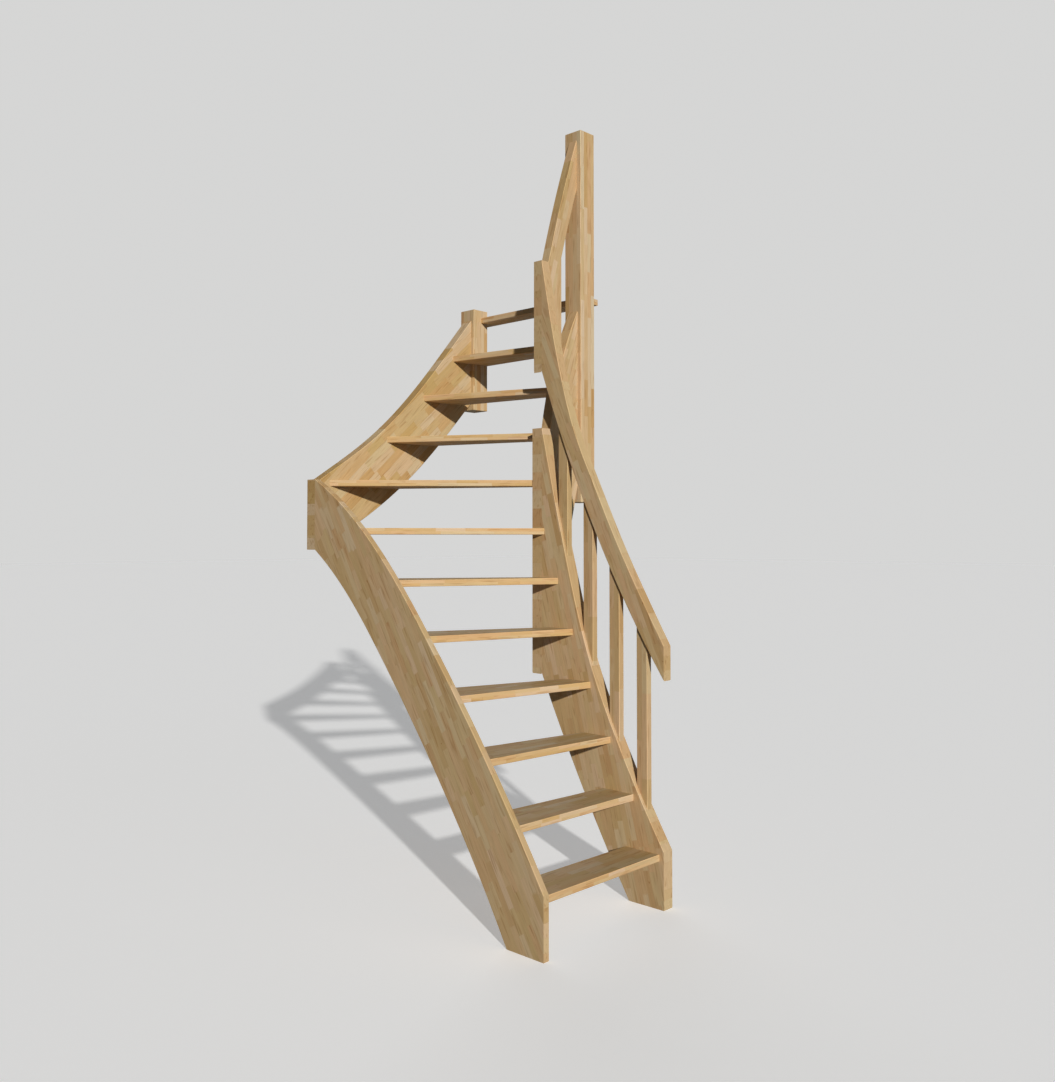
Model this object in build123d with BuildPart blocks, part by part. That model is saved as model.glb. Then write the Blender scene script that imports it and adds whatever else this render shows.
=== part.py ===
import os

from build123d import *

os.makedirs("parts", exist_ok=True)

# Quarter-turn winder stair with open risers, in laminated wood.
# The lower flight climbs along +Y, turns right at the corner, and the upper flight climbs along +X.
# The origin is on the floor, in the middle of the outer stringer's foot.

# Steps
RISE_HEIGHT = 220.0
CORNER_TREAD_COUNT = 8
LANDING_TREAD_COUNT = 12
TREAD_THICK = 28.0
TREAD_OVERLAP_LENGTH = 40.0
HOUSING_DEPTH = 12.0

# Plan of the stair
LOWER_CLEAR_WIDTH = 685.5
UPPER_CLEAR_WIDTH = 668.0
OUTER_RUN_LENGTH = 1391.0
UPPER_INNER_RUN_LENGTH = 248.5
LANDING_NOSING_SETBACK = 52.0
LANDING_TONGUE_LENGTH = 50.0

# Boards and posts
OUTER_BOARD_THICK = 28.0
BOARD_THICK = 58.0
POST_SIDE = 98.0
RAIL_THICK = 48.0
BALUSTER_THICK = 30.0
BALUSTER_WIDTH = 54.0

# Feet of the lower stringers, and how far their front ends stand above the first tread
OUTER_FOOT_LENGTH = 185.0
INNER_FOOT_LENGTH = 179.0
OUTER_FRONT_COVER = 15.0
INNER_FRONT_COVER = 15.0

# Heights of the stringers' ends, from the tread that they belong to
OUTER_CORNER_DEPTH = 316.0
OUTER_LANDING_DROP = 20.0
OUTER_LANDING_DEPTH = 430.0
INNER_CORNER_COVER = 233.0
INNER_CORNER_DEPTH = 1105.0
INNER_LANDING_DROP = 78.0
INNER_LANDING_DEPTH = 820.0

# Posts: how far they stand above the landing and run on below the stringers
SHORT_POST_HEIGHT = 38.0
SHORT_POST_TAIL_LENGTH = 34.0
NEWEL_HEIGHT = 781.0
NEWEL_TAIL_LENGTH = 79.0

# Heights of the rails' ends, from the first tread, the inner corner and the newel's top
RAIL_FRONT_LIFT = 840.0
RAIL_FRONT_DEPTH = 143.0
RAIL_CORNER_LIFT = 765.0
RAIL_CORNER_DEPTH = 511.0
RAIL_NEWEL_DROP = 45.0
RAIL_NEWEL_DEPTH = 241.0

# Nosings, posts, slats and the curved edges of the boards are eased by a small chamfer
EDGE_EASE_LENGTH = 2.0

# One overrun serves all shapes that are cut back to their neighbours
OVERRUN_LENGTH = 60.0

# Where each nosing meets the stringers, as shares of the run along that stringer
LOWER_OUTER_NOSING_SHARES = (0.016, 0.117, 0.229, 0.352, 0.490, 0.640, 0.807)
LOWER_INNER_NOSING_SHARES = (0.032, 0.229, 0.411, 0.575, 0.726, 0.855, 0.977)
UPPER_OUTER_NOSING_SHARES = (0.054, 0.389, 0.622, 0.821, 1.0)
UPPER_INNER_NOSING_SHARES = (0.018, 0.261, 0.504, 0.750, 1.0)

# Where the lower balusters stand, as shares of the run along the inner stringer
LOWER_BALUSTER_SHARES = (0.177, 0.394, 0.610, 0.827)

# Points of the curved edges between their ends, as shares of each edge's run and height
LOWER_OUTER_TOP_SHARES = ((0.156, 0.212), (0.306, 0.397), (0.463, 0.574), (0.632, 0.747), (0.783, 0.872))
LOWER_OUTER_BOTTOM_SHARES = ((0.097, 0.131), (0.280, 0.351), (0.612, 0.698), (0.792, 0.861))
UPPER_OUTER_TOP_SHARES = ((0.135, 0.094), (0.287, 0.206), (0.432, 0.331), (0.785, 0.726))
UPPER_OUTER_BOTTOM_SHARES = ((0.271, 0.179), (0.568, 0.450), (0.831, 0.769))
LOWER_INNER_TOP_SHARES = ((0.220, 0.139), (0.402, 0.268), (0.563, 0.401), (0.766, 0.644), (0.887, 0.821))
LOWER_INNER_BOTTOM_SHARES = ((0.396, 0.362), (0.746, 0.716))
UPPER_INNER_TOP_SHARES = ((0.466, 0.598),)
UPPER_INNER_BOTTOM_SHARES = ((0.552, 0.506),)
LOWER_RAIL_TOP_SHARES = (
    (0.211, 0.141),
    (0.389, 0.269),
    (0.553, 0.400),
    (0.711, 0.533),
    (0.798, 0.638),
    (0.889, 0.780),
)
LOWER_RAIL_BOTTOM_SHARES = ((0.374, 0.303), (0.788, 0.730))
UPPER_RAIL_TOP_SHARES = ((0.408, 0.446),)
UPPER_RAIL_BOTTOM_SHARES = ((0.553, 0.610),)

# Faces of the stringers in plan
outer_x = -OUTER_BOARD_THICK / 2
front_y = -OUTER_FOOT_LENGTH / 2
well_x = outer_x + OUTER_BOARD_THICK
inner_x = well_x + LOWER_CLEAR_WIDTH
inner_far_x = inner_x + BOARD_THICK
corner_y = front_y + OUTER_RUN_LENGTH
outer_back_y = corner_y + BOARD_THICK
inner_back_y = corner_y - UPPER_CLEAR_WIDTH
inner_front_y = inner_back_y - BOARD_THICK
post_x = inner_x + UPPER_INNER_RUN_LENGTH
post_back_x = post_x + POST_SIDE
landing_x = post_x + LANDING_NOSING_SETBACK
landing_back_x = post_back_x + LANDING_TONGUE_LENGTH
rail_x = (inner_x + inner_far_x - RAIL_THICK) / 2
rail_far_x = rail_x + RAIL_THICK
inner_middle_y = (inner_front_y + inner_back_y) / 2
outer_middle_y = (corner_y + outer_back_y) / 2
rail_front_y = inner_middle_y - RAIL_THICK / 2
rail_back_y = inner_middle_y + RAIL_THICK / 2

# Levels of the corner and the landing, and of the boards' ends there
corner_level = CORNER_TREAD_COUNT * RISE_HEIGHT
landing_level = LANDING_TREAD_COUNT * RISE_HEIGHT
outer_landing_top = landing_level - OUTER_LANDING_DROP
inner_corner_top = corner_level + INNER_CORNER_COVER
inner_landing_top = landing_level - INNER_LANDING_DROP
outer_front_top = RISE_HEIGHT + OUTER_FRONT_COVER
inner_front_top = RISE_HEIGHT + INNER_FRONT_COVER
short_post_top = landing_level + SHORT_POST_HEIGHT
short_post_bottom = outer_landing_top - OUTER_LANDING_DEPTH - SHORT_POST_TAIL_LENGTH
newel_top = landing_level + NEWEL_HEIGHT
newel_bottom = inner_landing_top - INNER_LANDING_DEPTH - NEWEL_TAIL_LENGTH
rail_front_top = RISE_HEIGHT + RAIL_FRONT_LIFT
rail_corner_top = inner_corner_top + RAIL_CORNER_LIFT
rail_newel_top = newel_top - RAIL_NEWEL_DROP


def edge_points(start, end, shares):
    """The points of a curved edge: its two ends, and shares of the run and the height between them."""
    run = end[0] - start[0]
    height = end[1] - start[1]
    middle = [(start[0] + a * run, start[1] + b * height) for a, b in shares]
    return [start, *middle, end]


def between(first, last, shares):
    """Places between two values, by shares of the distance."""
    return [first + share * (last - first) for share in shares]


# Nosing lines: the point of each tread's front edge on the outer and on the inner stringer
outer_nosings = [(well_x, y) for y in between(front_y, corner_y, LOWER_OUTER_NOSING_SHARES)]
outer_nosings += [(x, corner_y) for x in between(well_x, landing_x, UPPER_OUTER_NOSING_SHARES)]
inner_nosings = [(inner_x, y) for y in between(front_y, inner_front_y, LOWER_INNER_NOSING_SHARES)]
inner_nosings += [(x, inner_back_y) for x in between(inner_x, landing_x, UPPER_INNER_NOSING_SHARES)]


def nosing_direction(tread):
    """The direction of a tread's front line, from the outer stringer to the inner one."""
    return (Vector(*inner_nosings[tread]) - Vector(*outer_nosings[tread])).normalized()


def climbing_direction(tread):
    """The direction of the climb, square to the tread's front line."""
    return nosing_direction(tread).rotate(Axis.Z, 90)


def nosing_line(tread, setback):
    """A tread's front line moved back by a distance, run on past the stringers at both ends."""
    across = nosing_direction(tread)
    back = climbing_direction(tread) * setback
    outer = Vector(*outer_nosings[tread]) + back - across * LOWER_CLEAR_WIDTH
    inner = Vector(*inner_nosings[tread]) + back + across * OVERRUN_LENGTH
    return outer, inner


# Short post at the landing, on the end of the upper outer stringer
with BuildPart() as short_landing_post:
    with BuildSketch(Plane.XY.offset(short_post_bottom)):
        with Locations((post_x + POST_SIDE / 2, outer_middle_y)):
            Rectangle(POST_SIDE, POST_SIDE)
    extrude(amount=short_post_top - short_post_bottom)
    chamfer(short_landing_post.edges(), length=EDGE_EASE_LENGTH)
short_landing_post.part.label = "short_landing_post"

# Tall newel at the landing, on the ends of the upper inner stringer and the upper handrail
with BuildPart() as tall_landing_newel:
    with BuildSketch(Plane.XY.offset(newel_bottom)):
        with Locations((post_x + POST_SIDE / 2, inner_middle_y)):
            Rectangle(POST_SIDE, POST_SIDE)
    extrude(amount=newel_top - newel_bottom)
    chamfer(tall_landing_newel.edges(), length=EDGE_EASE_LENGTH)
tall_landing_newel.part.label = "tall_landing_newel"

posts = [short_landing_post.part, tall_landing_newel.part]

# Plan of the space between the stringers, grown into them by the depth of the housings
well_outline = [
    (well_x - HOUSING_DEPTH, front_y),
    (well_x - HOUSING_DEPTH, corner_y + HOUSING_DEPTH),
    (post_back_x, corner_y + HOUSING_DEPTH),
    (post_back_x, inner_back_y - HOUSING_DEPTH),
    (inner_x + HOUSING_DEPTH, inner_back_y - HOUSING_DEPTH),
    (inner_x + HOUSING_DEPTH, front_y),
]

# Treads: each runs from its own nosing to a little behind the nosing above it,
# is let into the stringers at both ends, and is notched round the posts
treads = []
for index in range(LANDING_TREAD_COUNT - 1):
    front = nosing_line(index, 0)
    back = nosing_line(index + 1, TREAD_OVERLAP_LENGTH)
    with BuildPart() as tread:
        with BuildSketch(Plane.XY.offset((index + 1) * RISE_HEIGHT - TREAD_THICK)):
            with BuildLine():
                Polyline(*well_outline, close=True)
            make_face()
            with BuildLine():
                Polyline(front[0], front[1], back[1], back[0], close=True)
            make_face(mode=Mode.INTERSECT)
        extrude(amount=TREAD_THICK)
        nosing = tread.faces().sort_by(Axis((0, 0, 0), climbing_direction(index)))[0]
        chamfer(nosing.edges().filter_by(Axis.Z, reverse=True), length=EDGE_EASE_LENGTH)
        add(posts, mode=Mode.SUBTRACT)
    tread.part.label = f"tread_{index + 1:02d}"
    treads.append(tread.part)

# Landing tread: level with the upper floor, between the posts, with a tongue behind each of them
with BuildPart() as landing_tread:
    with BuildSketch(Plane.XY.offset(landing_level - TREAD_THICK)):
        with BuildLine():
            Polyline(
                (landing_x, inner_front_y),
                (landing_back_x, inner_front_y),
                (landing_back_x, outer_back_y),
                (landing_x, outer_back_y),
                close=True,
            )
        make_face()
    extrude(amount=TREAD_THICK)
    chamfer(landing_tread.faces().sort_by(Axis.X)[0].edges().filter_by(Axis.Y), length=EDGE_EASE_LENGTH)
    add(posts, mode=Mode.SUBTRACT)
landing_tread.part.label = "landing_tread"

# Lower outer stringer: a thin curved board on the wall side, from the floor to the corner
with BuildPart() as lower_outer_stringer:
    with BuildSketch(Plane.YZ.offset(outer_x)):
        with BuildLine():
            front_top = (front_y, outer_front_top)
            heel = (front_y + OUTER_FOOT_LENGTH, 0)
            corner_top = (corner_y, corner_level)
            corner_bottom = (corner_y, corner_level - OUTER_CORNER_DEPTH)
            Spline(*edge_points(front_top, corner_top, LOWER_OUTER_TOP_SHARES))
            Spline(*edge_points(heel, corner_bottom, LOWER_OUTER_BOTTOM_SHARES))
            Polyline(front_top, (front_y, 0), heel)
            Line(corner_top, corner_bottom)
        make_face()
    extrude(amount=OUTER_BOARD_THICK)
    chamfer(lower_outer_stringer.edges().filter_by(GeomType.BSPLINE), length=EDGE_EASE_LENGTH)
    add(treads, mode=Mode.SUBTRACT)
lower_outer_stringer.part.label = "lower_outer_stringer"

# Upper outer stringer: from the outer corner, where its end shows, to the short post
with BuildPart() as upper_outer_stringer:
    with BuildSketch(Plane.XZ.offset(-outer_back_y)):
        with BuildLine():
            end_top = (outer_x, corner_level)
            rise_start = (well_x, corner_level)
            end_bottom = (outer_x, corner_level - OUTER_CORNER_DEPTH)
            post_top = (post_x, outer_landing_top)
            post_bottom = (post_x, outer_landing_top - OUTER_LANDING_DEPTH)
            Spline(*edge_points(rise_start, post_top, UPPER_OUTER_TOP_SHARES))
            Spline(*edge_points(end_bottom, post_bottom, UPPER_OUTER_BOTTOM_SHARES))
            Polyline(rise_start, end_top, end_bottom)
            Line(post_top, post_bottom)
        make_face()
    extrude(amount=BOARD_THICK)
    chamfer(upper_outer_stringer.edges().filter_by(GeomType.BSPLINE), length=EDGE_EASE_LENGTH)
    add(treads, mode=Mode.SUBTRACT)
upper_outer_stringer.part.label = "upper_outer_stringer"

# Lower inner stringer: from the floor, ever steeper, to the inner corner
with BuildPart() as lower_inner_stringer:
    with BuildSketch(Plane.YZ.offset(inner_x)):
        with BuildLine():
            front_top = (front_y, inner_front_top)
            heel = (front_y + INNER_FOOT_LENGTH, 0)
            corner_top = (inner_front_y, inner_corner_top)
            corner_bottom = (inner_front_y, inner_corner_top - INNER_CORNER_DEPTH)
            Spline(*edge_points(front_top, corner_top, LOWER_INNER_TOP_SHARES))
            Spline(*edge_points(heel, corner_bottom, LOWER_INNER_BOTTOM_SHARES))
            Polyline(front_top, (front_y, 0), heel)
            Line(corner_top, corner_bottom)
        make_face()
    extrude(amount=BOARD_THICK)
    chamfer(lower_inner_stringer.edges().filter_by(GeomType.BSPLINE), length=EDGE_EASE_LENGTH)
    add(treads, mode=Mode.SUBTRACT)
lower_inner_stringer.part.label = "lower_inner_stringer"

# Upper inner stringer: from the inner corner, where its end shows, to the tall newel
with BuildPart() as upper_inner_stringer:
    with BuildSketch(Plane.XZ.offset(-inner_back_y)):
        with BuildLine():
            end_top = (inner_x, inner_corner_top)
            rise_start = (inner_far_x, inner_corner_top)
            end_bottom = (inner_x, inner_corner_top - INNER_CORNER_DEPTH)
            newel_join_top = (post_x, inner_landing_top)
            newel_join_bottom = (post_x, inner_landing_top - INNER_LANDING_DEPTH)
            Spline(*edge_points(rise_start, newel_join_top, UPPER_INNER_TOP_SHARES))
            Spline(*edge_points(end_bottom, newel_join_bottom, UPPER_INNER_BOTTOM_SHARES))
            Polyline(rise_start, end_top, end_bottom)
            Line(newel_join_top, newel_join_bottom)
        make_face()
    extrude(amount=BOARD_THICK)
    chamfer(upper_inner_stringer.edges().filter_by(GeomType.BSPLINE), length=EDGE_EASE_LENGTH)
    add(treads, mode=Mode.SUBTRACT)
upper_inner_stringer.part.label = "upper_inner_stringer"

# Lower handrail: a curved board over the lower inner stringer
with BuildPart() as lower_handrail:
    with BuildSketch(Plane.YZ.offset(rail_x)):
        with BuildLine():
            front_top = (front_y, rail_front_top)
            front_bottom = (front_y, rail_front_top - RAIL_FRONT_DEPTH)
            corner_top = (rail_front_y, rail_corner_top)
            corner_bottom = (rail_front_y, rail_corner_top - RAIL_CORNER_DEPTH)
            Spline(*edge_points(front_top, corner_top, LOWER_RAIL_TOP_SHARES))
            Spline(*edge_points(front_bottom, corner_bottom, LOWER_RAIL_BOTTOM_SHARES))
            Line(front_top, front_bottom)
            Line(corner_top, corner_bottom)
        make_face()
    extrude(amount=RAIL_THICK)
    chamfer(lower_handrail.edges().filter_by(GeomType.BSPLINE), length=EDGE_EASE_LENGTH)
lower_handrail.part.label = "lower_handrail"

# Upper handrail: from the inner corner, where its end shows, to the tall newel
with BuildPart() as upper_handrail:
    with BuildSketch(Plane.XZ.offset(-rail_back_y)):
        with BuildLine():
            end_top = (rail_x, rail_corner_top)
            rise_start = (rail_far_x, rail_corner_top)
            end_bottom = (rail_x, rail_corner_top - RAIL_CORNER_DEPTH)
            newel_join_top = (post_x, rail_newel_top)
            newel_join_bottom = (post_x, rail_newel_top - RAIL_NEWEL_DEPTH)
            Spline(*edge_points(rise_start, newel_join_top, UPPER_RAIL_TOP_SHARES))
            Spline(*edge_points(end_bottom, newel_join_bottom, UPPER_RAIL_BOTTOM_SHARES))
            Polyline(rise_start, end_top, end_bottom)
            Line(newel_join_top, newel_join_bottom)
        make_face()
    extrude(amount=RAIL_THICK)
    chamfer(upper_handrail.edges().filter_by(GeomType.BSPLINE), length=EDGE_EASE_LENGTH)
upper_handrail.part.label = "upper_handrail"

# Lower balusters: flat slats, cut to the curved edges of the stringer below and the rail above
lower_balusters = []
baluster_places = between(front_y, inner_front_y, LOWER_BALUSTER_SHARES)
for index, place in enumerate(baluster_places):
    with BuildPart() as slat:
        with BuildSketch(Plane.XY.offset(-OVERRUN_LENGTH)):
            with Locations((rail_x + RAIL_THICK / 2, place)):
                Rectangle(BALUSTER_THICK, BALUSTER_WIDTH)
        extrude(amount=rail_newel_top + OVERRUN_LENGTH)
        chamfer(slat.edges().filter_by(Axis.Z), length=EDGE_EASE_LENGTH)
        add([lower_inner_stringer.part, lower_handrail.part], mode=Mode.SUBTRACT)
    with BuildPart() as baluster:
        add(slat.solids().sort_by(Axis.Z)[1])
    baluster.part.label = f"lower_baluster_{index + 1}"
    lower_balusters.append(baluster.part)

# Upper baluster: a like slat between the upper inner stringer and the upper handrail
with BuildPart() as upper_slat:
    with BuildSketch(Plane.XY.offset(-OVERRUN_LENGTH)):
        with Locations(((inner_x + post_x) / 2, inner_middle_y)):
            Rectangle(BALUSTER_WIDTH, BALUSTER_THICK)
    extrude(amount=newel_top + OVERRUN_LENGTH)
    chamfer(upper_slat.edges().filter_by(Axis.Z), length=EDGE_EASE_LENGTH)
    add([upper_inner_stringer.part, upper_handrail.part], mode=Mode.SUBTRACT)
with BuildPart() as upper_baluster:
    add(upper_slat.solids().sort_by(Axis.Z)[1])
upper_baluster.part.label = "upper_baluster"

pieces = [
    lower_outer_stringer.part,
    upper_outer_stringer.part,
    lower_inner_stringer.part,
    upper_inner_stringer.part,
    *posts,
    *treads,
    landing_tread.part,
    lower_handrail.part,
    upper_handrail.part,
    *lower_balusters,
    upper_baluster.part,
]
for piece in pieces:
    export_step(piece, f"parts/{piece.label}.step")
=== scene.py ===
import math

import bpy
import numpy as np
from mathutils import Matrix, Vector


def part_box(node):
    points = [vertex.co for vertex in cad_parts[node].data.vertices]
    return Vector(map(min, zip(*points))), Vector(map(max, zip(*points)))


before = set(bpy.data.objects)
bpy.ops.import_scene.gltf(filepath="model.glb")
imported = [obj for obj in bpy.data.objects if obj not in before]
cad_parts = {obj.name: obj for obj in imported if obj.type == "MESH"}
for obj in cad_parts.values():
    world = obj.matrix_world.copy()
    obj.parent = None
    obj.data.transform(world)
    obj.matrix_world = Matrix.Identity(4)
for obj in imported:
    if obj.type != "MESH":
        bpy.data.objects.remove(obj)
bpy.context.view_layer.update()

# Lower outer stringer: the thin curved board on the wall side of the lower flight, on its flat foot.
# It is sawn from a panel of pale hardwood staves, finger-jointed end to end and glued side by side,
# with the treads let into its inner face and a clear satin lacquer over all.
LOWER_OUTER_SLOPE = math.radians(58)
LOWER_OUTER_SEED = 203
ACROSS_LOWER_FLIGHT = (1, 0, 0)
UPWARDS = (0, 0, 1)

# The panel: sizes of its staves, in metres, and how their lengths vary from row to row
BOARD_STAVE_WIDTH = 0.028
STAVE_LENGTH = 0.155
LENGTH_SPREAD = 0.30
LENGTH_WAVE = 2.3
ROW_SHIFT = 31.0
LAYER_ROWS = 17.0
FINGER_DEPTH = 0.004
FINGER_PITCH = 0.004
GLUE_LINE_WIDTH = 0.0007

# The grain: waves per metre along and across it, and the detail, of each pattern
WANDER_GRAIN = (3.0, 14.0, 2.0)
FIBRE_GRAIN = (16.0, 420.0, 3.0)
PORE_GRAIN = (70.0, 900.0, 1.0)
CLOUD_GRAIN = (9.0, 80.0, 2.0)
HEART_GRAIN = (9.0, 100.0, 1.0)
GRAIN_SHIFT = 40.0
RING_PITCH = 0.0032
RING_WANDER = 5.0
RING_SHIFT = 9.0
PITH_SPREAD = 0.09
LATE_WOOD_SPAN = (0.30, 0.92)
PORE_EDGE = (0.15, 0.25)
HEART_EDGE = (0.06, 0.22)

# Pin knots: the share of staves that have one, and its shape
KNOT_SHARE = 0.06
KNOT_RADIUS = 0.0035
KNOT_HEART_SHARE = 0.3
KNOT_STRETCH = 1.7
KNOT_RANGE = 0.6
KNOT_RAGGEDNESS = 0.001

# The finish: how much each feature browns, lightens, roughens and raises the wood
BROWN_STAIN = (0.60, 0.43, 0.27, 1.0)
LATE_WOOD_STAIN = 0.11
HEART_STAIN = 0.42
PORE_STAIN = 0.14
GLUE_STAIN = 0.07
KNOT_STAIN = 0.85
CUT_END_STAIN = 0.10
BASE_LEVEL = 1.06
CLOUD_LEVEL = 0.24
FIBRE_LEVEL = 0.14
# The eased edges' lightening is a painted highlight.
EASED_HIGHLIGHT_LEVEL = 0.20
CUT_END_FACING = (0.55, 0.95)
EASED_FACING = (0.50, 0.65, 0.75, 0.90)
BASE_ROUGHNESS = 0.55
LATE_WOOD_ROUGHNESS = 0.06
FIBRE_ROUGHNESS = 0.12
CUT_END_ROUGHNESS = 0.14
EASED_ROUGHNESS = -0.06
FIBRE_RELIEF = 0.8
LATE_WOOD_RELIEF = 0.3
PORE_RELIEF = -0.6
GLUE_RELIEF = -0.4
RELIEF_DEPTH = 0.0003
RELIEF_STRENGTH = 0.5
BARE_WOOD_GLOSS = 0.0
LACQUER_COAT = 0.08
LACQUER_COAT_ROUGHNESS = 0.40

# The staves' tones from dark to pale, in display values, and the casts that tint them a little
STAVE_TONES = (
    (0.00, (190, 154, 106)),
    (0.15, (197, 164, 117)),
    (0.45, (201, 169, 124)),
    (0.75, (203, 173, 130)),
    (1.00, (207, 180, 141)),
)
STAVE_CASTS = (
    (0.0, (0.95, 0.97, 0.91, 1.0)),
    (0.5, (0.97, 0.97, 0.97, 1.0)),
    (1.0, (1.00, 0.95, 0.96, 1.0)),
)

# A display's curve, which takes its values to linear light: a straight toe, and a power above it
DISPLAY_WHITE = 255
CURVE_TOE = 0.04045
CURVE_TOE_SLOPE = 12.92
CURVE_OFFSET = 0.055
CURVE_POWER = 2.4

# The Mix node's sockets for colours, by number, since those for values have the same names
MIX_SHARE, MIX_BASE, MIX_BY, MIX_RESULT = 0, 6, 7, 2


def light_of(display_colour):
    """The linear light of a colour written in the 0 to 255 values of a display."""
    shares = np.array(display_colour) / DISPLAY_WHITE
    toe = shares / CURVE_TOE_SLOPE
    curve = ((shares + CURVE_OFFSET) / (1 + CURVE_OFFSET)) ** CURVE_POWER
    return (*np.where(shares <= CURVE_TOE, toe, curve).tolist(), 1.0)


class Field:
    """A value that varies over a surface: it wraps a socket, and its operators add Math nodes."""

    def __init__(self, socket):
        self.socket = socket

    def node(self, kind, settings, sockets, output=0):
        """Adds a node of a type: its settings are set first, then the values or links of its sockets."""
        tree = self.socket.id_data
        made = tree.nodes.new(kind)
        for name, value in settings.items():
            if name == "stops":
                elements = made.color_ramp.elements
                while len(elements) < len(value):
                    elements.new(1.0)
                for element, (position, colour) in zip(elements, value):
                    element.position = position
                    element.color = colour
            else:
                setattr(made, name, value)
        for name, value in sockets.items():
            if isinstance(value, Field):
                tree.links.new(value.socket, made.inputs[name])
            else:
                made.inputs[name].default_value = value
        return Field(made.outputs[output])

    def output(self, name):
        """Another output of the node that this value comes from."""
        return Field(self.socket.node.outputs[name])

    def maths(self, operation, *others):
        """One Math node, with this value first."""
        return self.node("ShaderNodeMath", {"operation": operation}, dict(enumerate((self, *others))))

    def smooth(self, start, end):
        """A smooth step from 0 at start to 1 at end."""
        sockets = {"Value": self, "From Min": start, "From Max": end}
        return self.node("ShaderNodeMapRange", {"interpolation_type": "SMOOTHSTEP"}, sockets)

    def __add__(self, other):
        return self.maths("ADD", other)

    def __sub__(self, other):
        return self.maths("SUBTRACT", other)

    def __mul__(self, other):
        return self.maths("MULTIPLY", other)

    def __truediv__(self, other):
        return self.maths("DIVIDE", other)

    __radd__ = __add__
    __rmul__ = __mul__

    def __rsub__(self, other):
        return self.node("ShaderNodeMath", {"operation": "SUBTRACT"}, {0: other, 1: self})

    def __rtruediv__(self, other):
        return self.node("ShaderNodeMath", {"operation": "DIVIDE"}, {0: other, 1: self})


def vector_of(x, y, z):
    """A vector field from three values, the first of which is a field."""
    return x.node("ShaderNodeCombineXYZ", {}, {"X": x, "Y": y, "Z": z})


def parts_of(vector):
    """The three values of a vector field."""
    split = vector.node("ShaderNodeSeparateXYZ", {}, {"Vector": vector})
    return split.output("X"), split.output("Y"), split.output("Z")


def board_axes(grain, thickness):
    """The turn that takes the pattern's x, y and z to a board's grain, width and thickness."""
    grain = Vector(grain).normalized()
    thickness = Vector(thickness).normalized()
    return Matrix((grain, thickness.cross(grain), thickness)).transposed()


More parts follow.
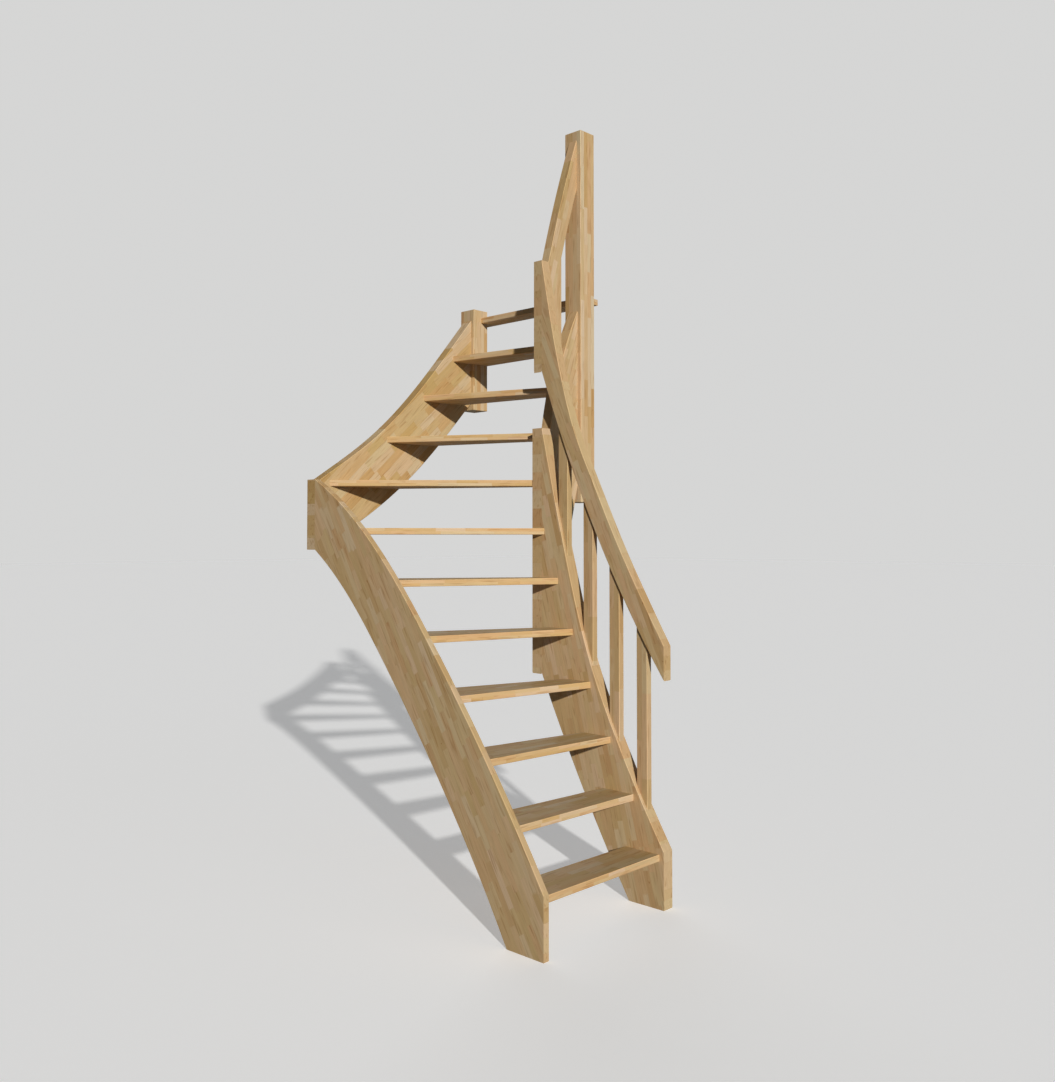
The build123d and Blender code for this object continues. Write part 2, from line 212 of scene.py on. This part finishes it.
def laminated_wood(
    name, grain, thickness, stave_width, seed,
    layer_depth=None, tones=STAVE_TONES, top_shade_and_wear=None, stave_length=STAVE_LENGTH,
):
    """Lacquered wood glued up from staves, given to one CAD node.

    In the board's own axes, x runs along the grain, y across the board and z through it. Whole
    numbers of y / stave width count the rows, and those of z / layer depth the layers of a thick
    piece. Along each row, whole numbers of x / stave length, moved by the row's own random shift
    and by a sine that varies the lengths, count the staves. A triangle wave of y makes the fingers
    of each end joint. Row and stave numbers give each stave its tone, its cast, its pith and its
    grain. Where it is given, a painted shade greys and darkens the top, and wear makes the
    lacquer there a little rougher.
    """
    low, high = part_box(name)
    axes = board_axes(grain, thickness)
    material = bpy.data.materials.new(name + "_wood")
    material.use_nodes = True
    shader = material.node_tree.nodes["Principled BSDF"]
    object_point = Field(material.node_tree.nodes.new("ShaderNodeTexCoord").outputs["Object"])
    placing = {"Vector": object_point, "Location": (low + high) / 2, "Rotation": axes.to_euler()}
    board_point = object_point.node("ShaderNodeMapping", {"vector_type": "TEXTURE"}, placing)
    along, across, through = parts_of(board_point)

    # The layout of the staves, and three random values for each
    row_place = across / stave_width
    row = row_place.maths("FLOOR")
    side = row_place - row - 0.5
    if layer_depth:
        row = row + (through / layer_depth).maths("FLOOR") * LAYER_ROWS
    row_key = {"Vector": vector_of(row, seed, 0)}
    row_random = row.node("ShaderNodeTexWhiteNoise", {"noise_dimensions": "2D"}, row_key)
    run = along / stave_length + row_random * ROW_SHIFT
    run = run + (run * LENGTH_WAVE).maths("SINE") * LENGTH_SPREAD
    fingers = across.maths("PINGPONG", FINGER_PITCH / 2) / (FINGER_PITCH / 2)
    run = run + fingers * (FINGER_DEPTH / stave_length)
    stave = run.maths("FLOOR")
    end = run - stave - 0.5
    stave_key = {"Vector": vector_of(row, stave, seed)}
    stave_random = row.node("ShaderNodeTexWhiteNoise", {"noise_dimensions": "3D"}, stave_key)
    random_a, random_b, random_c = parts_of(stave_random.output("Color"))

    def streaks(lengthwise, crosswise, detail):
        """Noise drawn out along the grain, shifted for each stave, from -0.5 to 0.5."""
        shift_along = along * lengthwise + random_c * GRAIN_SHIFT
        shift_across = across * crosswise + random_a * GRAIN_SHIFT
        place = vector_of(shift_along, shift_across, through * crosswise)
        sockets = {"Vector": place, "Scale": 1.0, "Detail": detail}
        return along.node("ShaderNodeTexNoise", {}, sockets) - 0.5

    # Growth rings about a pith somewhere beside the stave, fibres, pores, brown heart and slow
    # changes of tone
    pith_across = side * stave_width - (random_a - 0.5) * PITH_SPREAD
    pith_depth = through - random_b * PITH_SPREAD
    radius = (pith_across * pith_across + pith_depth * pith_depth).maths("SQRT")
    wander = streaks(*WANDER_GRAIN) * RING_WANDER
    ring = (radius / RING_PITCH + wander + random_c * RING_SHIFT).maths("FRACT")
    ring_start, ring_end = LATE_WOOD_SPAN
    late_wood = ring.smooth(ring_start, ring_end) * (1 - ring.smooth(ring_end, 1))
    fibre = streaks(*FIBRE_GRAIN)
    pores = streaks(*PORE_GRAIN).smooth(*PORE_EDGE)
    heart = streaks(*HEART_GRAIN).smooth(*HEART_EDGE)
    cloud = streaks(*CLOUD_GRAIN)

    # Glue lines beside the staves and at the finger joints, and a pin knot in a few staves
    side_edge = GLUE_LINE_WIDTH / stave_width
    end_edge = GLUE_LINE_WIDTH / stave_length
    side_line = side.maths("ABSOLUTE").smooth(0.5 - side_edge, 0.5 - side_edge / 2)
    end_line = end.maths("ABSOLUTE").smooth(0.5 - end_edge, 0.5 - end_edge / 2)
    glue = side_line.maths("MAXIMUM", end_line)
    knot_along = (end - (random_b - 0.5) * KNOT_RANGE) * (stave_length / KNOT_STRETCH)
    knot_across = (side - (random_c - 0.5) * KNOT_RANGE) * stave_width
    knot_distance = (knot_along * knot_along + knot_across * knot_across).maths("SQRT")
    knot_distance = knot_distance + fibre * KNOT_RAGGEDNESS
    knot_body = 1 - knot_distance.smooth(KNOT_HEART_SHARE * KNOT_RADIUS, KNOT_RADIUS)
    knot = knot_body * random_a.maths("LESS_THAN", KNOT_SHARE)

    # Cut ends drink more of the lacquer and look darker; the eased edges carry a painted highlight
    normal = Field(material.node_tree.nodes.new("ShaderNodeNewGeometry").outputs["Normal"])

    def along_normal(direction):
        """The share of the surface's normal that points along a direction, from -1 to 1."""
        sockets = {0: normal, 1: direction}
        return normal.node("ShaderNodeVectorMath", {"operation": "DOT_PRODUCT"}, sockets, "Value")

    def multiplied(base, by, share):
        """A colour multiplied by another one, as far as a share from 0 to 1."""
        mixing = {"data_type": "RGBA", "blend_type": "MULTIPLY", "clamp_factor": True}
        sockets = {MIX_SHARE: share, MIX_BASE: base, MIX_BY: by}
        return base.node("ShaderNodeMix", mixing, sockets, MIX_RESULT)

    cut_end = along_normal(axes.col[0]).maths("ABSOLUTE").smooth(*CUT_END_FACING)
    face = along_normal(axes.col[2]).maths("ABSOLUTE")
    eased = face.smooth(*EASED_FACING[:2]) * (1 - face.smooth(*EASED_FACING[2:]))

    stops = [(place, light_of(colour)) for place, colour in tones]
    tone = stave_random.node("ShaderNodeValToRGB", {"stops": stops}, {"Fac": stave_random})
    cast = random_b.node("ShaderNodeValToRGB", {"stops": STAVE_CASTS}, {"Fac": random_b})
    stain = late_wood * LATE_WOOD_STAIN + heart * HEART_STAIN + pores * PORE_STAIN
    stain = stain + glue * GLUE_STAIN + knot * KNOT_STAIN + cut_end * CUT_END_STAIN
    stained = multiplied(multiplied(tone, cast, 1.0), BROWN_STAIN, stain)
    # The eased edges' share of the level is a painted highlight.
    level = BASE_LEVEL + cloud * CLOUD_LEVEL + fibre * FIBRE_LEVEL + eased * EASED_HIGHLIGHT_LEVEL
    colour = tone.node("ShaderNodeVectorMath", {"operation": "SCALE"}, {0: stained, "Scale": level})
    roughness = BASE_ROUGHNESS + late_wood * LATE_WOOD_ROUGHNESS + fibre * FIBRE_ROUGHNESS
    roughness = roughness + cut_end * CUT_END_ROUGHNESS + eased * EASED_ROUGHNESS
    if top_shade_and_wear:
        top_shade_colour, top_shade_and_wear_facing, top_shade_and_wear_level, top_shade_and_wear_spread, wear_roughness = top_shade_and_wear
        top_shade_and_wear_share = along_normal(UPWARDS).smooth(*top_shade_and_wear_facing) * (top_shade_and_wear_level + cloud * top_shade_and_wear_spread)
        # Painted shade: the top is greyed and darkened where it faces up; the added roughness is wear.
        colour = multiplied(colour, top_shade_colour, top_shade_and_wear_share)
        roughness = roughness + top_shade_and_wear_share * wear_roughness
    height = fibre * FIBRE_RELIEF + late_wood * LATE_WOOD_RELIEF
    height = height + pores * PORE_RELIEF + glue * GLUE_RELIEF
    relief = {"Height": height, "Strength": RELIEF_STRENGTH, "Distance": RELIEF_DEPTH}
    bump = height.node("ShaderNodeBump", {}, relief)

    links = material.node_tree.links
    links.new(colour.socket, shader.inputs["Base Color"])
    links.new(roughness.socket, shader.inputs["Roughness"])
    links.new(bump.socket, shader.inputs["Normal"])
    shader.inputs["Specular IOR Level"].default_value = BARE_WOOD_GLOSS
    shader.inputs["Coat Weight"].default_value = LACQUER_COAT
    shader.inputs["Coat Roughness"].default_value = LACQUER_COAT_ROUGHNESS
    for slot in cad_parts[name].material_slots:
        slot.material = material


def in_lower_flight(slope):
    """A direction in the upright plane of the lower flight, by its slope."""
    return (0, math.cos(slope), math.sin(slope))


lower_outer_grain = in_lower_flight(LOWER_OUTER_SLOPE)
laminated_wood(
    "lower_outer_stringer", lower_outer_grain, ACROSS_LOWER_FLIGHT, BOARD_STAVE_WIDTH, LOWER_OUTER_SEED
)

# Upper outer stringer: the curved board of the upper flight, butted past the end of the lower one.
# It is sawn from a panel of wider staves that rise with the flight, so its sawn end at the outer
# corner shows them cut across.
ACROSS_UPPER_FLIGHT = (0, 1, 0)
UPPER_OUTER_SLOPE = math.radians(42)
UPPER_OUTER_STAVE_WIDTH = 0.038
UPPER_OUTER_SEED = 108
UPPER_OUTER_TONES = (
    (0.00, (187, 150, 97)),
    (0.20, (194, 160, 106)),
    (0.50, (198, 165, 114)),
    (0.75, (201, 171, 125)),
    (1.00, (206, 181, 142)),
)


def in_upper_flight(slope):
    """A direction in the upright plane of the upper flight, by its slope."""
    return (math.cos(slope), 0, math.sin(slope))


upper_outer_grain = in_upper_flight(UPPER_OUTER_SLOPE)
laminated_wood(
    "upper_outer_stringer", upper_outer_grain, ACROSS_UPPER_FLIGHT, UPPER_OUTER_STAVE_WIDTH,
    UPPER_OUTER_SEED, tones=UPPER_OUTER_TONES,
)

# Lower inner stringer: the thick board on the open side, ever steeper from its foot to the inner
# corner. It is sawn from the same panel as the lower outer one, with the staves set steeply to
# follow it, and the treads are let into it.
LOWER_INNER_SLOPE = math.radians(75)
LOWER_INNER_SEED = 114
lower_inner_grain = in_lower_flight(LOWER_INNER_SLOPE)
laminated_wood(
    "lower_inner_stringer", lower_inner_grain, ACROSS_LOWER_FLIGHT, BOARD_STAVE_WIDTH, LOWER_INNER_SEED
)

# Upper inner stringer: the short steep board between the inner corner and the tall newel.
# It is sawn from the lower one's panel, and its sawn end shows at the inner corner, as on the
# outer side.
UPPER_INNER_SLOPE = math.radians(70)
UPPER_INNER_SEED = 21
upper_inner_grain = in_upper_flight(UPPER_INNER_SLOPE)
laminated_wood(
    "upper_inner_stringer", upper_inner_grain, ACROSS_UPPER_FLIGHT, BOARD_STAVE_WIDTH, UPPER_INNER_SEED
)

# Landing posts: square posts glued up from four layers of long staves, upright at the head of the
# stair. The stringers' ends, the upper handrail and the landing tread are dowelled to them.
POST_LAYERS = 4
POST_STAVE_LENGTH = 0.28
POST_SEED = 33
POST_TONES = (
    (0.00, (193, 152, 99)),
    (0.25, (202, 166, 118)),
    (0.60, (208, 178, 135)),
    (1.00, (212, 187, 151)),
)
for number, post in enumerate(("short_landing_post", "tall_landing_newel")):
    post_low, post_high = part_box(post)
    layer = (post_high.y - post_low.y) / POST_LAYERS
    seed = POST_SEED + number
    laminated_wood(
        post, UPWARDS, ACROSS_UPPER_FLIGHT, layer, seed, layer, POST_TONES,
        stave_length=POST_STAVE_LENGTH,
    )

# Treads: eleven tapered boards let into the stringers, and the landing tread notched round the
# posts. Their staves run along the nosing, so that the wood spans from stringer to stringer. Their
# tops carry a painted shade that makes them a little grey and darker, and wear makes the lacquer there a
# little rougher.
TREAD_COUNT = 11
TREAD_STAVE_WIDTH = 0.030
TREAD_LAYERS = 2
TREAD_SEED = 140
TREAD_TONES = (
    (0.00, (206, 167, 113)),
    (0.20, (209, 171, 119)),
    (0.60, (212, 176, 127)),
    (0.88, (213, 181, 136)),
    (1.00, (216, 188, 150)),
)
# Painted shade on the tops: its grey, the faces it covers and how much; the roughness is wear.
TOP_PAINTED_SHADE_COLOUR = (0.71, 0.77, 0.81, 1.0)
TOP_SHADE_AND_WEAR_FACING = (0.70, 0.97)
TOP_SHADE_AND_WEAR_LEVEL = 0.85
TOP_SHADE_AND_WEAR_SPREAD = 0.60
WEAR_ROUGHNESS = 0.10
UPRIGHT_LEAN = 0.1
tread_top_shade_and_wear = (TOP_PAINTED_SHADE_COLOUR, TOP_SHADE_AND_WEAR_FACING, TOP_SHADE_AND_WEAR_LEVEL, TOP_SHADE_AND_WEAR_SPREAD, WEAR_ROUGHNESS)
tread_names = [f"tread_{number:02d}" for number in range(1, TREAD_COUNT + 1)] + ["landing_tread"]


def nosing_of(tread):
    """The direction of a tread's front edge.

    It is level, and square to the largest upright face that looks down the stair.
    """
    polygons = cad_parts[tread].data.polygons
    normals = np.zeros(3 * len(polygons), np.float32)
    areas = np.zeros(len(polygons), np.float32)
    polygons.foreach_get("normal", normals)
    polygons.foreach_get("area", areas)
    normals = normals.reshape(-1, 3)
    upright = np.abs(normals[:, 2]) < UPRIGHT_LEAN
    down_the_stair = normals[:, 0] + normals[:, 1] < 0
    front = normals[np.argmax(areas * upright * down_the_stair)]
    return (-front[1], front[0], 0)


for number, tread in enumerate(tread_names):
    tread_low, tread_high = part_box(tread)
    layer = (tread_high.z - tread_low.z) / TREAD_LAYERS
    seed = TREAD_SEED + number
    nosing = nosing_of(tread)
    laminated_wood(tread, nosing, UPWARDS, TREAD_STAVE_WIDTH, seed, layer, TREAD_TONES, tread_top_shade_and_wear)

# Handrails: two curved boards that meet at the inner corner, over the inner stringers.
# They are sawn from the stringers' panel, and carry the heads of the balusters.
LOWER_RAIL_SLOPE = math.radians(66)
UPPER_RAIL_SLOPE = math.radians(74)
LOWER_RAIL_SEED = 164
UPPER_RAIL_SEED = 165
lower_rail_grain = in_lower_flight(LOWER_RAIL_SLOPE)
upper_rail_grain = in_upper_flight(UPPER_RAIL_SLOPE)
laminated_wood(
    "lower_handrail", lower_rail_grain, ACROSS_LOWER_FLIGHT, BOARD_STAVE_WIDTH, LOWER_RAIL_SEED
)
laminated_wood(
    "upper_handrail", upper_rail_grain, ACROSS_UPPER_FLIGHT, BOARD_STAVE_WIDTH, UPPER_RAIL_SEED
)

# Balusters: flat upright slats, four on the lower flight and one on the upper, two staves wide.
# They are cut at both ends to the curves that they meet, and glued and dowelled into the stringer
# below and the rail above.
LOWER_BALUSTERS = 4
BALUSTER_STAVES = 2
BALUSTER_STAVE_LENGTH = 0.28
BALUSTER_SEED = 70
slats = [(f"lower_baluster_{number + 1}", ACROSS_LOWER_FLIGHT) for number in range(LOWER_BALUSTERS)]
slats.append(("upper_baluster", ACROSS_UPPER_FLIGHT))
for number, (slat, slat_face) in enumerate(slats):
    slat_low, slat_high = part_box(slat)
    slat_width = max(slat_high.x - slat_low.x, slat_high.y - slat_low.y)
    stave = slat_width / BALUSTER_STAVES
    seed = BALUSTER_SEED + number
    laminated_wood(slat, UPWARDS, slat_face, stave, seed, stave_length=BALUSTER_STAVE_LENGTH)

# Floor: a plain pale studio floor, level with the stringers' feet, which runs out to the horizon.
# What is seen of it is lifted towards white, and the light that it throws on the stair is that of
# a darker matt floor.
FLOOR_REACH = 60.0
FLOOR_COLOUR = (0.815, 0.803, 0.780, 1.0)
FLOOR_BOUNCE_COLOUR = (0.30, 0.35, 0.42, 1.0)
FLOOR_LIFT = 0.395
floor_mesh = bpy.data.meshes.new("floor")
corners = FLOOR_REACH * np.array([(-1, -1, 0), (1, -1, 0), (1, 1, 0), (-1, 1, 0)], float)
floor_mesh.from_pydata(corners.tolist(), [], [(0, 1, 2, 3)])
floor = bpy.data.objects.new("floor", floor_mesh)
bpy.context.scene.collection.objects.link(floor)


def seen_directly(tree):
    """1 for camera, mirror and glass rays, and 0 for the light thrown from surface to surface."""
    path = Field(tree.nodes.new("ShaderNodeLightPath").outputs["Is Camera Ray"])
    mirrored = path.output("Is Glossy Ray").maths("MAXIMUM", path.output("Is Transmission Ray"))
    return path.maths("MAXIMUM", mirrored)


floor_material = bpy.data.materials.new("pale_floor")
floor_material.use_nodes = True
floor_tree = floor_material.node_tree
seen = seen_directly(floor_tree)
matt = seen.node("ShaderNodeBsdfDiffuse", {}, {"Color": FLOOR_BOUNCE_COLOUR})
pale = seen.node("ShaderNodeBsdfDiffuse", {}, {"Color": FLOOR_COLOUR})
lift = seen.node("ShaderNodeEmission", {}, {"Color": FLOOR_COLOUR, "Strength": FLOOR_LIFT})
shown = seen.node("ShaderNodeAddShader", {}, {0: pale, 1: lift})
blend = seen.node("ShaderNodeMixShader", {}, {0: seen, 1: matt, 2: shown})
floor_tree.links.new(blend.socket, floor_tree.nodes["Material Output"].inputs["Surface"])
floor_mesh.materials.append(floor_material)

# Light: a key lamp low in front of the stair and to its left, two weaker broad lamps that fill the
# shade from the front and from behind, and a faint even light all round, before a pale backdrop.
# Together they show a colour that faces the key lamp about as it is written.
KEY_TRAVEL = Vector((0.476, 0.813, -0.335))
KEY_STRENGTH = 3.12
KEY_SPREAD = math.radians(1.4)
KEY_COLOUR = (1.0, 1.0, 1.0)
FRONT_FILL_TRAVEL = Vector((0.05, 0.98, -0.17))
FRONT_FILL_STRENGTH = 0.36
FRONT_FILL_COLOUR = (0.72, 0.98, 1.34)
BACK_FILL_TRAVEL = Vector((-0.60, -0.80, -0.05))
BACK_FILL_STRENGTH = 1.45
BACK_FILL_COLOUR = (0.94, 0.98, 1.07)
FILL_SPREAD = math.radians(60)
ROOM_LIGHT = (0.014, 0.017, 0.022, 1.0)
BACKDROP_COLOUR = (0.67, 0.67, 0.665, 1.0)


def distant_lamp(name, travel, strength, spread, colour):
    """A lamp far off, whose light travels one way and comes from a disc of the given spread."""
    lamp_data = bpy.data.lights.new(name, "SUN")
    lamp_data.energy = strength
    lamp_data.angle = spread
    lamp_data.color = colour
    lamp = bpy.data.objects.new(name, lamp_data)
    lamp.rotation_mode = "QUATERNION"
    lamp.rotation_quaternion = travel.to_track_quat("-Z", "Y")
    bpy.context.scene.collection.objects.link(lamp)


distant_lamp("key_lamp", KEY_TRAVEL, KEY_STRENGTH, KEY_SPREAD, KEY_COLOUR)
distant_lamp(
    "front_fill_lamp", FRONT_FILL_TRAVEL, FRONT_FILL_STRENGTH, FILL_SPREAD, FRONT_FILL_COLOUR
)
distant_lamp("back_fill_lamp", BACK_FILL_TRAVEL, BACK_FILL_STRENGTH, FILL_SPREAD, BACK_FILL_COLOUR)

room = bpy.data.worlds.new("room")
room.use_nodes = True
bpy.context.scene.world = room
seen = seen_directly(room.node_tree)
ambient = seen.node("ShaderNodeBackground", {}, {"Color": ROOM_LIGHT})
backdrop = seen.node("ShaderNodeBackground", {}, {"Color": BACKDROP_COLOUR})
blend = seen.node("ShaderNodeMixShader", {}, {0: seen, 1: ambient, 2: backdrop})
room.node_tree.links.new(blend.socket, room.node_tree.nodes["World Output"].inputs["Surface"])

# Camera: at eye height in front of the outer stringer, looking nearly level at the turn of the stair.
# Its place, lens and small shift show the stair at the photograph's angle.
CAMERA_PLACE = (-2.7692, -2.6258, 1.4955)
CAMERA_LOOK = Vector((0.72545, 0.68748, 0.03302))
CAMERA_LENS = 34.905
CAMERA_SHIFT = -0.0346
camera_data = bpy.data.cameras.new("camera")
camera_data.lens = CAMERA_LENS
camera_data.shift_y = CAMERA_SHIFT
camera = bpy.data.objects.new("camera", camera_data)
camera.location = CAMERA_PLACE
camera.rotation_mode = "QUATERNION"
camera.rotation_quaternion = CAMERA_LOOK.to_track_quat("-Z", "Y")
bpy.context.scene.collection.objects.link(camera)
bpy.context.scene.camera = camera
bpy.context.scene.view_settings.view_transform = "Standard"
